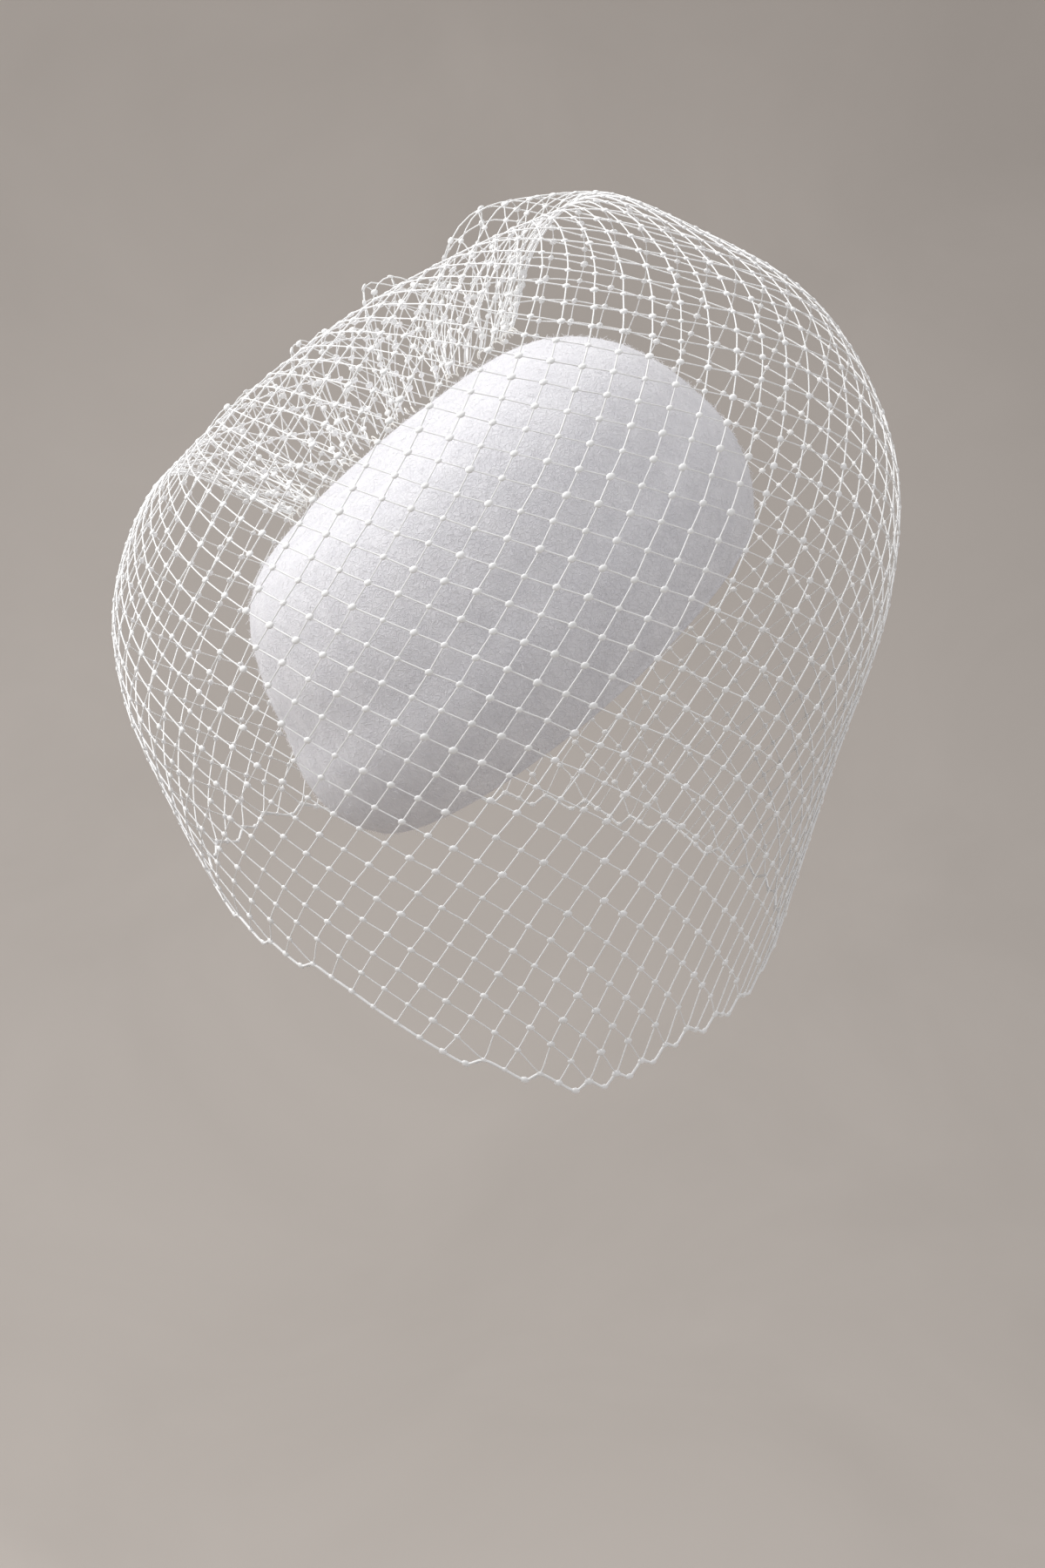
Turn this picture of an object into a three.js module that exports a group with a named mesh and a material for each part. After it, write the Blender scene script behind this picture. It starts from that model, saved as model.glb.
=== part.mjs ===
import * as THREE from 'three';

// A pillbox hat of wool felt with a gathered net veil, in millimetres, +Z up.
// It is in the tilt that it is worn at: the wearer looks along -Y and the hat
// leans to the wearer's right. The origin is the middle of the rim opening,
// where the hat sits on a head.

// How it is worn.
const SIDE_TILT_DEG = 39.6;
const FRONT_TILT_DEG = 4;

// The felt crown.
const FELT_WALL = 3;
const CROWN_SIDES = 48;
const FRONT_TO_SIDE = 0.95;

// The veil.
const VEIL_WALL = 2;
const CHIN_POINT_AT = -0.2;
const CHIN_POINT_LEFT = 0.42;
const CHIN_POINT_RIGHT = 0.8;

// The comb that holds the hat in the hair.
const COMB_LENGTH = 60;
const COMB_SPINE = 6;
const COMB_DEPTH = 26;
const COMB_THICK = 2;
const COMB_TEETH = 12;
const COMB_GAP_SHARE = 0.5;

// Half widths of the crown to the wearer's right and left, from the rim up.
const CROWN_SECTIONS = [
  { height: 1.5, left: 80.6, right: 79.6 },
  { height: 6, left: 83.6, right: 82.8 },
  { height: 16, left: 86.2, right: 87.0 },
  { height: 28, left: 85.2, right: 88.8 },
  { height: 40, left: 80.8, right: 87.6 },
  { height: 54, left: 76.6, right: 84.2 },
  { height: 65, left: 71.6, right: 79.0 },
  { height: 73, left: 66.8, right: 72.6 },
  { height: 79.5, left: 60.4, right: 64.4 },
  { height: 83.4, left: 53.0, right: 54.6 },
  { height: 85, left: 44.0, right: 44.6 },
  { height: 85, left: 30.0, right: 30.0 },
  { height: 84.2, left: 14.0, right: 14.0 },
];
const CROWN_MIDDLE_HEIGHT = 83.6;

// Hoops of the veil from the gather on the tip down to the hem. Each row has
// the two side ends of a hoop, how far back its middle is, its reach forward
// and back, how far the ends bow forward, how much the front drops and the
// back rises, the drop of the chin point, how strongly the folds show, and
// the number of steps to the next hoop.
const VEIL_HOOPS = [
  { leftX: -40, leftH: 86, rightX: 54, rightH: 86, backY: 54, front: 4, back: 4,
    bow: 18, frontDrop: 0, backRise: 0, chin: 0, fold: 0, steps: 3 },
  { leftX: -52, leftH: 103, rightX: 78, rightH: 101, backY: 60, front: 18, back: 15,
    bow: 12, frontDrop: -4, backRise: 6, chin: 0, fold: 0.35, steps: 3 },
  { leftX: -62, leftH: 121, rightX: 100, rightH: 102, backY: 52, front: 48, back: 31,
    bow: 4, frontDrop: -14, backRise: 23, chin: 0, fold: 0.9, steps: 3 },
  { leftX: -78, leftH: 119, rightX: 120, rightH: 72, backY: 36, front: 86, back: 54,
    bow: 0, frontDrop: -16, backRise: 24, chin: 0, fold: 1.0, steps: 3 },
  { leftX: -100, leftH: 103, rightX: 134, rightH: 32, backY: 18, front: 106, back: 78,
    bow: 0, frontDrop: -4, backRise: 8, chin: 0, fold: 0.4, steps: 3 },
  { leftX: -113, leftH: 81, rightX: 125, rightH: -12, backY: 6, front: 110, back: 92,
    bow: 0, frontDrop: 2, backRise: 0, chin: 0, fold: 0.12, steps: 2 },
  { leftX: -120, leftH: 58, rightX: 99, rightH: -44, backY: 0, front: 106, back: 98,
    bow: 0, frontDrop: 4, backRise: 0, chin: 3, fold: 0, steps: 2 },
  { leftX: -125, leftH: 38, rightX: 54, rightH: -74, backY: -4, front: 98, back: 98,
    bow: 0, frontDrop: 8, backRise: 0, chin: 10, fold: 0, steps: 2 },
  { leftX: -129, leftH: 17, rightX: -2, rightH: -112, backY: -8, front: 90, back: 94,
    bow: 0, frontDrop: 9, backRise: -8, chin: 30, fold: 0, steps: 0 },
];

// Valleys between the puffs: the angle round the veil from the wearer's left
// over the back, the width of its steep and its gentle side, and its depth.
const VEIL_VALLEYS = [
  { angle: 65, steep: 6, gentle: 20, depth: 19 },
  { angle: 94, steep: 6, gentle: 18, depth: 17 },
  { angle: 119, steep: 6, gentle: 18, depth: 11 },
  { angle: 150, steep: 10, gentle: 14, depth: 5 },
];

// Stations round the veil, closer together over the folds.
const VEIL_SECTORS = [
  { from: 50, to: 165, steps: 36 },
  { from: 165, to: 410, steps: 36 },
];

const felt = new THREE.MeshStandardMaterial({ name: 'white wool felt', color: 0xeceaec, roughness: 0.95 });
const net = new THREE.MeshStandardMaterial({ name: 'white nylon net', color: 0xf4f4f4, roughness: 0.6 });
const plastic = new THREE.MeshStandardMaterial({ name: 'clear plastic comb', color: 0xe8e6e0, roughness: 0.35 });

/** A closed mesh from rings of points: outer rings one way, inner rings back, joined at both ends. */
function shellFromRings(outer, inner) {
  const rings = outer.concat(inner.slice().reverse());
  const around = outer[0].length;
  const positions = rings.flat().flatMap((p) => [p.x, p.y, p.z]);
  const index = [];
  for (let i = 0; i < rings.length; i += 1) {
    const a = i * around;
    const b = ((i + 1) % rings.length) * around;
    for (let j = 0; j < around; j += 1) {
      const k = (j + 1) % around;
      index.push(a + j, b + k, a + k);
      index.push(a + j, b + j, b + k);
    }
  }
  return indexedGeometry(positions, index);
}

function indexedGeometry(positions, index) {
  const geometry = new THREE.BufferGeometry();
  geometry.setAttribute('position', new THREE.Float32BufferAttribute(positions, 3));
  geometry.setIndex(index);
  geometry.computeVertexNormals();
  return geometry;
}

/** One level ring of the crown. */
function crownRing(section) {
  const ring = [];
  const depth = FRONT_TO_SIDE * (section.left + section.right) / 2;
  for (let j = 0; j < CROWN_SIDES; j += 1) {
    const angle = (2 * Math.PI * j) / CROWN_SIDES;
    const side = Math.cos(angle) > 0 ? section.right : section.left;
    ring.push(new THREE.Vector3(side * Math.cos(angle), depth * Math.sin(angle), section.height));
  }
  return ring;
}

/** The crown's section moved inwards by the felt's thickness. */
function innerSections(sections) {
  return sections.map((section, i) => {
    const below = sections[Math.max(i - 1, 0)];
    const above = sections[Math.min(i + 1, sections.length - 1)];
    const run = (above.left + above.right - below.left - below.right) / 2;
    const rise = above.height - below.height;
    const length = Math.hypot(run, rise);
    const inwards = (FELT_WALL * rise) / length;
    return {
      height: section.height + (FELT_WALL * run) / length,
      left: section.left - inwards,
      right: section.right - inwards,
    };
  });
}

/** The felt crown: an open cap with a rounded rim. */
function crownGeometry() {
  const inside = innerSections(CROWN_SECTIONS);
  const first = CROWN_SECTIONS[0];
  const rim = {
    height: 0,
    left: first.left - FELT_WALL / 2,
    right: first.right - FELT_WALL / 2,
  };
  const levels = inside.slice().reverse().concat([rim], CROWN_SECTIONS);
  levels[inside.length - 1].height = first.height;
  const rings = levels.map(crownRing);
  const positions = rings.flat().flatMap((p) => [p.x, p.y, p.z]);
  const innerPole = positions.length / 3;
  positions.push(0, 0, CROWN_MIDDLE_HEIGHT - FELT_WALL);
  const outerPole = innerPole + 1;
  positions.push(0, 0, CROWN_MIDDLE_HEIGHT);
  const index = [];
  const last = (rings.length - 1) * CROWN_SIDES;
  for (let j = 0; j < CROWN_SIDES; j += 1) {
    const k = (j + 1) % CROWN_SIDES;
    index.push(innerPole, k, j);
    index.push(outerPole, last + j, last + k);
    for (let i = 0; i < rings.length - 1; i += 1) {
      const a = i * CROWN_SIDES;
      const b = a + CROWN_SIDES;
      index.push(a + j, a + k, b + k);
      index.push(a + j, b + k, b + j);
    }
  }
  return indexedGeometry(positions, index);
}

/** How deep the valleys cut into the veil at an angle in degrees. */
function foldDepth(angle) {
  return VEIL_VALLEYS.reduce((sum, valley) => {
    const away = THREE.MathUtils.euclideanModulo(angle - valley.angle + 180, 360) - 180;
    const width = away < 0 ? valley.steep : valley.gentle;
    return sum + valley.depth * Math.exp(-((away / width) ** 2));
  }, 0);
}

/** The point of a hoop at an angle in degrees: 0 is +X, 90 the back, 270 the front. */
function hoopPoint(hoop, angle) {
  const across = Math.cos(THREE.MathUtils.degToRad(angle));
  const along = Math.sin(THREE.MathUtils.degToRad(angle));
  const middle = new THREE.Vector3((hoop.leftX + hoop.rightX) / 2, hoop.backY, (hoop.leftH + hoop.rightH) / 2);
  const reach = along > 0 ? hoop.back : hoop.front;
  const lift = along > 0 ? hoop.backRise : -hoop.frontDrop;
  const point = new THREE.Vector3(
    middle.x + (across * (hoop.rightX - hoop.leftX)) / 2,
    middle.y + reach * along - hoop.bow * across * across,
    middle.z + (across * (hoop.rightH - hoop.leftH)) / 2 + lift * along * along,
  );
  if (along < 0) {
    const away = across - CHIN_POINT_AT;
    const width = away < 0 ? CHIN_POINT_LEFT : CHIN_POINT_RIGHT;
    point.z += along * hoop.chin * Math.exp(-((away / width) ** 2));
  }
  if (hoop.fold > 0) {
    const outwards = point.clone().sub(middle).normalize();
    outwards.z += hoop.fold;
    point.addScaledVector(outwards.normalize(), -hoop.fold * foldDepth(angle));
  }
  return point;
}

/** A smooth curve through the hoops at one angle, as points with the stated steps. */
function veilColumn(angle) {
  const knots = VEIL_HOOPS.map((hoop) => hoopPoint(hoop, angle));
  const spacing = knots.slice(1).map((knot, i) => Math.sqrt(knot.distanceTo(knots[i])));
  const slope = (i) => knots[i + 1].clone().sub(knots[i]).divideScalar(spacing[i]);
  const tangents = knots.map((knot, i) => {
    if (i === 0) return slope(0);
    if (i === knots.length - 1) return slope(i - 1);
    const share = spacing[i - 1] / (spacing[i - 1] + spacing[i]);
    return slope(i - 1).lerp(slope(i), share);
  });
  const points = [];
  VEIL_HOOPS.slice(0, -1).forEach((hoop, i) => {
    for (let step = 0; step < hoop.steps; step += 1) {
      const s = step / hoop.steps;
      const point = knots[i].clone().multiplyScalar(2 * s ** 3 - 3 * s ** 2 + 1);
      point.addScaledVector(tangents[i], (s ** 3 - 2 * s ** 2 + s) * spacing[i]);
      point.addScaledVector(knots[i + 1], -2 * s ** 3 + 3 * s ** 2);
      point.addScaledVector(tangents[i + 1], (s ** 3 - s ** 2) * spacing[i]);
      points.push(point);
    }
  });
  points.push(knots[knots.length - 1].clone());
  return points;
}

/** The veil's outer form: a thin wall on both sides of the surface through the hoops. */
function veilGeometry() {
  const columns = [];
  VEIL_SECTORS.forEach((sector) => {
    for (let step = 0; step < sector.steps; step += 1) {
      columns.push(veilColumn(sector.from + ((sector.to - sector.from) * step) / sector.steps));
    }
  });
  const rows = columns[0].length;
  const outer = [];
  const inner = [];
  for (let i = 0; i < rows; i += 1) {
    const outerRing = [];
    const innerRing = [];
    columns.forEach((column, j) => {
      const next = columns[(j + 1) % columns.length][i];
      const before = columns[(j + columns.length - 1) % columns.length][i];
      const down = column[Math.min(i + 1, rows - 1)].clone().sub(column[Math.max(i - 1, 0)]);
      const normal = down.cross(next.clone().sub(before)).normalize();
      outerRing.push(column[i].clone().addScaledVector(normal, VEIL_WALL / 2));
      innerRing.push(column[i].clone().addScaledVector(normal, -VEIL_WALL / 2));
    });
    outer.push(outerRing);
    inner.push(innerRing);
  }
  return shellFromRings(outer, inner);
}

/** A flat comb: a spine with straight teeth. */
function combGeometry() {
  const pitch = COMB_LENGTH / (COMB_TEETH - COMB_GAP_SHARE);
  const tooth = pitch * (1 - COMB_GAP_SHARE);
  const shape = new THREE.Shape();
  shape.moveTo(-COMB_LENGTH / 2, 0);
  for (let i = 0; i < COMB_TEETH; i += 1) {
    const x = -COMB_LENGTH / 2 + i * pitch;
    shape.lineTo(x, COMB_SPINE);
    shape.lineTo(x + tooth * 0.2, COMB_DEPTH);
    shape.lineTo(x + tooth * 0.8, COMB_DEPTH);
    shape.lineTo(x + tooth, COMB_SPINE);
  }
  shape.lineTo(COMB_LENGTH / 2, 0);
  shape.closePath();
  return new THREE.ExtrudeGeometry(shape, { depth: COMB_THICK, bevelEnabled: false });
}

const hat = new THREE.Group();
hat.name = 'pillbox_hat';

const worn = new THREE.Group();
const lean = THREE.MathUtils.degToRad(SIDE_TILT_DEG);
const nod = THREE.MathUtils.degToRad(FRONT_TILT_DEG);
const up = new THREE.Vector3(
  -Math.sin(lean) * Math.cos(nod),
  -Math.sin(nod),
  Math.cos(lean) * Math.cos(nod),
);
const back = new THREE.Vector3(0, 1, 0).addScaledVector(up, -up.y).normalize();
const side = new THREE.Vector3().crossVectors(back, up);
worn.quaternion.setFromRotationMatrix(new THREE.Matrix4().makeBasis(side, back, up));
hat.add(worn);

const crown = new THREE.Mesh(crownGeometry(), felt);
crown.name = 'felt_crown';
worn.add(crown);

const veil = new THREE.Mesh(veilGeometry(), net);
veil.name = 'veil';
worn.add(veil);

// The comb lies inside the front of the rim with its teeth upwards along the wall.
const comb = new THREE.Mesh(combGeometry(), plastic);
comb.name = 'hair_comb';
comb.position.set(0, -64, 6);
comb.rotation.set(Math.PI / 2, 0, 0);
worn.add(comb);

export default hat;
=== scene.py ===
"""A white felt pillbox hat with a gathered net veil, dressed on its CAD frame.

The hat is held at the tilt it is worn at. Sizes below are in millimetres in the
hat's own frame, with its axis up, and are turned and scaled to metres when a
mesh is made.
"""
from __future__ import annotations

import logging
import math
from dataclasses import dataclass, field
from enum import Enum
from typing import Any, Iterable, Sequence

import bpy
import numpy as np
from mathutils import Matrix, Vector, noise

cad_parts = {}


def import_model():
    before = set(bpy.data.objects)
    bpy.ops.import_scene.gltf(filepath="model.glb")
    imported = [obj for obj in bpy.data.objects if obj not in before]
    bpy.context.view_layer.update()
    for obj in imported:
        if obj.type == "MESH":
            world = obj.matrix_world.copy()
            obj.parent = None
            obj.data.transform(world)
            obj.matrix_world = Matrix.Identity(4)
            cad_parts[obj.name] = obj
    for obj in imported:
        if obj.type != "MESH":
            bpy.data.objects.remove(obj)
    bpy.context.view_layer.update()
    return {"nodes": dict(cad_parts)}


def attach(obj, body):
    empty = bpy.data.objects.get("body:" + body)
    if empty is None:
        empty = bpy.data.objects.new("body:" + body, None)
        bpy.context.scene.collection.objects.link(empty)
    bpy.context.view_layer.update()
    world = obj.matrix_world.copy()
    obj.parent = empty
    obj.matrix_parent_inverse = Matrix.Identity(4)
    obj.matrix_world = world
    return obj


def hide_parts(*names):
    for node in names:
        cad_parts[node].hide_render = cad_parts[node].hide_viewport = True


LOG = logging.getLogger("pillbox_hat")
MM = 0.001
Array = np.ndarray


# --------------------------------------------------------------------------
# Small tools
# --------------------------------------------------------------------------
def linear(hex_colour: str, alpha: float = 1.0) -> tuple[float, float, float, float]:
    """Turns an sRGB hex colour to linear values.

    Args:
        hex_colour: Six hex digits after a hash.
        alpha: The fourth value.

    Returns:
        Red, green, blue and alpha.
    """
    parts = [int(hex_colour[i : i + 2], 16) / 255 for i in (1, 3, 5)]
    red, green, blue = (p / 12.92 if p <= 0.04045 else ((p + 0.055) / 1.055) ** 2.4 for p in parts)
    return red, green, blue, alpha


def find_input(node: bpy.types.Node, key: str | int) -> bpy.types.NodeSocket:
    """Finds a node's enabled input by its name, identifier or number.

    Args:
        node: The node.
        key: The socket's name, identifier or position.

    Returns:
        The input socket.
    """
    if isinstance(key, int):
        return node.inputs[key]
    return next(s for s in node.inputs if s.enabled and key in (s.name, s.identifier))


def find_output(node: bpy.types.Node) -> bpy.types.NodeSocket:
    """Finds a node's first enabled output."""
    return next(s for s in node.outputs if s.enabled)


def add_node(
    tree: bpy.types.NodeTree,
    kind: str,
    settings: dict[str | int, Any] | None = None,
    links: dict[str | int, bpy.types.NodeSocket] | None = None,
) -> bpy.types.Node:
    """Adds a node with its settings and links.

    Args:
        tree: The shader or geometry tree.
        kind: The node's type name.
        settings: Values for the node's own properties or its input sockets.
        links: Output sockets of other nodes for this node's inputs.

    Returns:
        The new node.
    """
    node = tree.nodes.new(kind)
    for key, value in (settings or {}).items():
        if isinstance(key, str) and key.islower() and hasattr(node, key):
            setattr(node, key, value)
        else:
            find_input(node, key).default_value = value
    for key, source in (links or {}).items():
        tree.links.new(source, find_input(node, key))
    return node


def catmull(knots: Array, steps: Sequence[int]) -> Array:
    """Runs a smooth curve through rows of knots, with root chord spacing.

    Args:
        knots: Rows of points, shape (rows, columns, 3).
        steps: How many steps each span between two rows gets.

    Returns:
        The points of the curves, shape (sum of steps + 1, columns, 3).
    """
    gaps = np.sqrt(np.linalg.norm(np.diff(knots, axis=0), axis=-1))[..., None] + 1e-9
    slopes = np.diff(knots, axis=0) / gaps
    tangents = np.empty_like(knots)
    tangents[0], tangents[-1] = slopes[0], slopes[-1]
    share = gaps[:-1] / (gaps[:-1] + gaps[1:])
    tangents[1:-1] = slopes[:-1] * (1 - share) + slopes[1:] * share
    rows = []
    for i, count in enumerate(steps):
        for s in np.arange(count) / count:
            rows.append(
                knots[i] * (2 * s**3 - 3 * s**2 + 1)
                + tangents[i] * gaps[i] * (s**3 - 2 * s**2 + s)
                + knots[i + 1] * (3 * s**2 - 2 * s**3)
                + tangents[i + 1] * gaps[i] * (s**3 - s**2)
            )
    rows.append(knots[-1])
    return np.array(rows)


def mesh_object(
    name: str, points: Array, faces: Iterable[Sequence[int]], edges: Iterable[Sequence[int]] = ()
) -> bpy.types.Object:
    """Makes a mesh object at the origin.

    Args:
        name: The object's name.
        points: Its vertices in metres.
        faces: Its faces as vertex numbers.
        edges: Its loose edges as vertex numbers.

    Returns:
        The linked object.
    """
    mesh = bpy.data.meshes.new(name)
    mesh.from_pydata([tuple(p) for p in points], [tuple(e) for e in edges], [tuple(f) for f in faces])
    mesh.validate()
    mesh.update()
    piece = bpy.data.objects.new(name, mesh)
    bpy.context.scene.collection.objects.link(piece)
    return piece


# --------------------------------------------------------------------------
# Where the hat sits
# --------------------------------------------------------------------------
@dataclass(frozen=True)
class WornFrame:
    """The tilt that the hat is worn at.

    Attributes:
        side_tilt: Lean to the wearer's right, in degrees.
        front_tilt: Lean forwards, in degrees.
    """

    side_tilt: float = 39.6
    front_tilt: float = 4.0

    def axes(self) -> Array:
        """Works out the hat's side, back and up directions.

        Returns:
            A 3 x 3 matrix with the directions as columns.
        """
        lean, nod = math.radians(self.side_tilt), math.radians(self.front_tilt)
        up = np.array([-math.sin(lean) * math.cos(nod), -math.sin(nod), math.cos(lean) * math.cos(nod)])
        back = np.array([0.0, 1.0, 0.0]) - up * up[1]
        back /= np.linalg.norm(back)
        return np.stack([np.cross(back, up), back, up], axis=1)

    def place(self, points: Array) -> Array:
        """Turns points in the hat's frame, in millimetres, into metres in the part's frame."""
        return points @ self.axes().T * MM

    def direct(self, vectors: Array) -> Array:
        """Turns directions in the hat's frame into the part's frame."""
        return vectors @ self.axes().T


# --------------------------------------------------------------------------
# Finishes
# --------------------------------------------------------------------------
class Surface(Enum):
    """How a finish's surface was made."""

    FELTED = "felted"
    FIBRE = "fibre"
    EXTRUDED = "extruded"
    SPUN = "spun"
    MOULDED = "moulded"
    PAINTED = "painted"


@dataclass(frozen=True)
class Finish:
    """A material, from what the real one is.

    Attributes:
        name: What the material is and how it was made.
        surface: How its surface was made, which picks the pattern.
        light: The lighter colour of its variation.
        dark: The darker colour of its variation.
        roughness: How rough it is.
        patch: Size of its colour variation, in millimetres.
        grain: Size of its surface grain, in millimetres.
        depth: Depth of its grain, in millimetres.
        ior: Index of refraction.
        sheen: Strength of its fibre sheen.
        clear: Share of light that passes through it.
        glow: Share of light that scatters below its surface.
    """

    name: str
    surface: Surface
    light: str
    dark: str
    roughness: float
    patch: float
    grain: float
    depth: float
    ior: float = 1.5
    sheen: float = 0.0
    clear: float = 0.0
    glow: float = 0.0

    def build(self) -> bpy.types.Material:
        """Builds the node material.

        Returns:
            The material.
        """
        material = bpy.data.materials.new(self.name)
        material.use_nodes = True
        tree = material.node_tree
        tree.nodes.clear()
        where = add_node(tree, "ShaderNodeTexCoord").outputs["Object"]
        patches = add_node(
            tree,
            "ShaderNodeTexNoise",
            {"Scale": 1 / (self.patch * MM), "Detail": 4.0, "Roughness": 0.6, "Distortion": 0.6},
            {"Vector": where},
        )
        colour = add_node(tree, "ShaderNodeValToRGB", {}, {"Fac": patches.outputs["Fac"]})
        colour.color_ramp.elements[0].position = 0.34
        colour.color_ramp.elements[1].position = 0.66
        colour.color_ramp.elements[0].color = linear(self.dark)
        colour.color_ramp.elements[1].color = linear(self.light)
        shader = add_node(
            tree,
            "ShaderNodeBsdfPrincipled",
            {
                "IOR": self.ior,
                "Sheen Weight": self.sheen,
                "Sheen Roughness": 0.5,
                "Transmission Weight": self.clear,
                "Subsurface Weight": self.glow,
                "Subsurface Scale": 0.002,
            },
        )
        height, colours = self.pattern(tree, where, colour.outputs["Color"])
        tree.links.new(colours, shader.inputs["Base Color"])
        rough = add_node(
            tree,
            "ShaderNodeMapRange",
            {"To Min": self.roughness * 0.9, "To Max": min(self.roughness * 1.08, 1.0)},
            {"Value": patches.outputs["Fac"]},
        )
        tree.links.new(rough.outputs["Result"], shader.inputs["Roughness"])
        bump = add_node(tree, "ShaderNodeBump", {"Strength": 1.0, "Distance": self.depth * MM}, {"Height": height})
        tree.links.new(bump.outputs["Normal"], shader.inputs["Normal"])
        add_node(tree, "ShaderNodeOutputMaterial", {}, {"Surface": shader.outputs["BSDF"]})
        return material

    def pattern(
        self, tree: bpy.types.NodeTree, where: bpy.types.NodeSocket, colour: bpy.types.NodeSocket
    ) -> tuple[bpy.types.NodeSocket, bpy.types.NodeSocket]:
        """Adds the surface's own pattern.

        Args:
            tree: The material's tree.
            where: Object coordinates, in metres.
            colour: The varied base colour.

        Returns:
            The height for the bump and the colour with the pattern in it.
        """
        grain = add_node(
            tree,
            "ShaderNodeTexNoise",
            {"Scale": 1 / (self.grain * MM), "Detail": 5.0, "Roughness": 0.7, "Distortion": 1.4},
            {"Vector": where},
        )
        if self.surface is not Surface.FELTED:
            return grain.outputs["Fac"], colour
        # Felt is a mat of curled hairs: thin crossing ridges over soft clumps.
        hairs = add_node(
            tree,
            "ShaderNodeTexVoronoi",
            {"feature": "DISTANCE_TO_EDGE", "Scale": 0.55 / (self.grain * MM), "Randomness": 1.0},
            {"Vector": self.bent(tree, where)},
        )
        ridges = add_node(
            tree,
            "ShaderNodeMapRange",
            {"From Max": 0.12, "To Min": 1.0, "To Max": 0.0},
            {"Value": hairs.outputs["Distance"]},
        )
        clumps = add_node(
            tree,
            "ShaderNodeTexNoise",
            {"Scale": 1 / (self.grain * 5 * MM), "Detail": 3.0},
            {"Vector": where},
        )
        mat = add_node(
            tree,
            "ShaderNodeMath",
            {"operation": "MULTIPLY_ADD", 1: 0.35},
            {0: ridges.outputs["Result"], 2: grain.outputs["Fac"]},
        )
        height = add_node(
            tree,
            "ShaderNodeMath",
            {"operation": "MULTIPLY_ADD", 1: 0.7},
            {0: clumps.outputs["Fac"], 2: mat.outputs["Value"]},
        )
        shade = add_node(
            tree,
            "ShaderNodeMapRange",
            {"From Min": 0.3, "From Max": 0.7, "To Min": 0.93, "To Max": 1.0},
            {"Value": grain.outputs["Fac"]},
        )
        tint = add_node(
            tree,
            "ShaderNodeMix",
            {"data_type": "RGBA", "blend_type": "MULTIPLY", "Factor_Float": 1.0},
            {"A_Color": colour, "B_Color": shade.outputs["Result"]},
        )
        return height.outputs["Value"], next(s for s in tint.outputs if s.enabled)

    def bent(self, tree: bpy.types.NodeTree, where: bpy.types.NodeSocket) -> bpy.types.NodeSocket:
        """Bends the coordinates so that cell edges look like curled hairs.

        Args:
            tree: The material's tree.
            where: Object coordinates, in metres.

        Returns:
            The bent coordinates.
        """
        push = add_node(
            tree,
            "ShaderNodeTexNoise",
            {"Scale": 1 / (self.grain * 2.2 * MM), "Detail": 2.0},
            {"Vector": where},
        )
        small = add_node(
            tree,
            "ShaderNodeVectorMath",
            {"operation": "SCALE", "Scale": self.grain * 3 * MM},
            {0: push.outputs["Color"]},
        )
        return add_node(
            tree, "ShaderNodeVectorMath", {"operation": "ADD"}, {0: where, 1: small.outputs["Vector"]}
        ).outputs["Vector"]


# Wool felt: carded fleece that was wetted, rubbed and blocked, so it is matt,
# softly mottled and has no thread direction. The hairs are drawn 0.9 mm apart,
# coarser than real ones, so that they show.
WOOL_FELT = Finish(
    "wool felt, wetted and blocked", Surface.FELTED, "#F2F1F4", "#E7E6EA", 0.95, 9.0, 0.9, 0.32, 1.5, 0.25
)
# Loose wool hairs that stand off the felt and soften its outline.
WOOL_HAIR = Finish(
    "wool hair, loose on the felt", Surface.FIBRE, "#FAF9FA", "#F0EFF2", 0.8, 6.0, 0.4, 0.02, 1.5, 0.3
)
# Nylon netting yarn: a fine twisted filament with a soft gloss.
NYLON_NET = Finish(
    "nylon netting yarn, twisted", Surface.EXTRUDED, "#FBFBFA", "#F1F1EF", 0.5, 12.0, 0.5, 0.03, 1.53, 0.15
)
# Cotton sewing thread in the stitches that hold the gathers and the comb.
SEWING_THREAD = Finish(
    "cotton sewing thread, spun", Surface.SPUN, "#F5F3EE", "#E6E3DC", 0.75, 4.0, 0.4, 0.05, 1.5, 0.2
)
# Clear acrylic comb: injection moulded, slightly cloudy with handling.
ACRYLIC = Finish(
    "clear acrylic, moulded", Surface.MOULDED, "#EFEDE6", "#E2DFD6", 0.22, 20.0, 6.0, 0.02, 1.49, 0.0, 0.65
)
# A matt painted studio floor and wall.
STUDIO_PAINT = Finish(
    "studio floor paint, matt", Surface.PAINTED, "#B5AEA7", "#B0A9A2", 0.9, 400.0, 2.0, 0.02
)


# --------------------------------------------------------------------------
# The felt crown
# --------------------------------------------------------------------------
@dataclass(frozen=True)
class Section:
    """A level section of the crown.

    Attributes:
        height: Height above the rim.
        left: Half width on the wearer's right.
        right: Half width on the wearer's left.
    """

    height: float
    left: float
    right: float


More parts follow.
